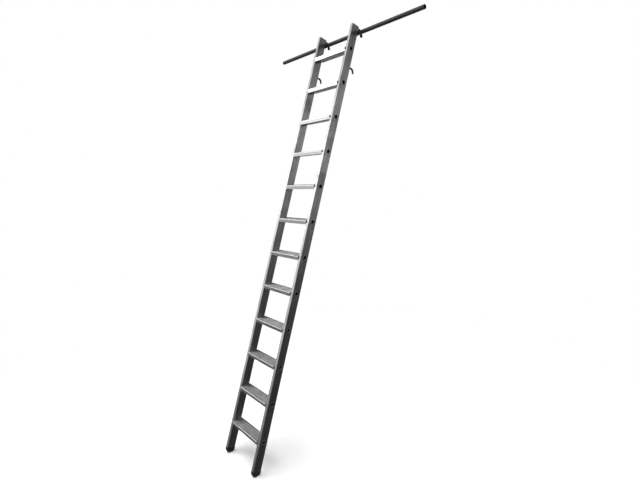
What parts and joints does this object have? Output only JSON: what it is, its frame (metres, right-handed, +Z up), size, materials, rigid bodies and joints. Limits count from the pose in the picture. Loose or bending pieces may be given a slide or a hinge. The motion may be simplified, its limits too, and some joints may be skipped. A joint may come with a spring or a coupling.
{
  "type": "hook-on rail ladder",
  "caption": "Straight aluminium ladder with deep ribbed treads that hooks over a round rail, slides along it and swings out, with spare parking hooks.",
  "frame": {"origin": "on the floor, centred under the whole object, with the ladder in use: leaning back against the rail with both soles on the floor", "axes": "+X along the rail towards the user's right when facing the treads; +Y from the user towards the shelves, the way the ladder leans; +Z up"},
  "size_m": [1.61, 1.212, 3.0882],
  "materials": {
    "stringer_aluminium": "drawn, satin",
    "tread_aluminium": "extruded, ribbed top",
    "rail_steel": "dark, satin",
    "hook_steel": "grey, plated",
    "black_rubber": "black, matt",
    "cap_plastic": "dark grey",
    "glide_plastic": "black",
    "rivet_metal": "bright"
  },
  "bodies": {
    "rail": {"rail": "rail_steel"},
    "glides": {"glide_left": "glide_plastic", "glide_right": "glide_plastic"},
    "ladder": {"stringer_left": "stringer_aluminium", "stringer_right": "stringer_aluminium", "tread_01": "tread_aluminium", "tread_02": "tread_aluminium", "tread_03": "tread_aluminium", "tread_04": "tread_aluminium", "tread_05": "tread_aluminium", "tread_06": "tread_aluminium", "tread_07": "tread_aluminium", "tread_08": "tread_aluminium", "tread_09": "tread_aluminium", "tread_10": "tread_aluminium", "tread_11": "tread_aluminium", "tread_12": "tread_aluminium", "hook_upper_left": "hook_steel", "hook_upper_right": "hook_steel", "hook_lower_left": "hook_steel", "hook_lower_right": "hook_steel", "hook_sleeve_left": "black_rubber", "hook_sleeve_right": "black_rubber", "top_cap_left": "cap_plastic", "top_cap_right": "cap_plastic", "foot_left": "black_rubber", "foot_right": "black_rubber", "rivet_left_1": "rivet_metal", "rivet_left_2": "rivet_metal", "rivet_right_1": "rivet_metal", "rivet_right_2": "rivet_metal"}
  },
  "joints": [
    {"name": "rail_travel", "type": "slide", "parent": "rail", "child": "glides", "axis": [1, 0, 0], "range_m": [-0.58, 0.58]},
    {"name": "ladder_swing", "type": "hinge", "parent": "glides", "child": "ladder", "pos_m": [0, 0.57166, 3.02797], "axis": [-1, 0, 0], "range_deg": [0, 35]}
  ]
}
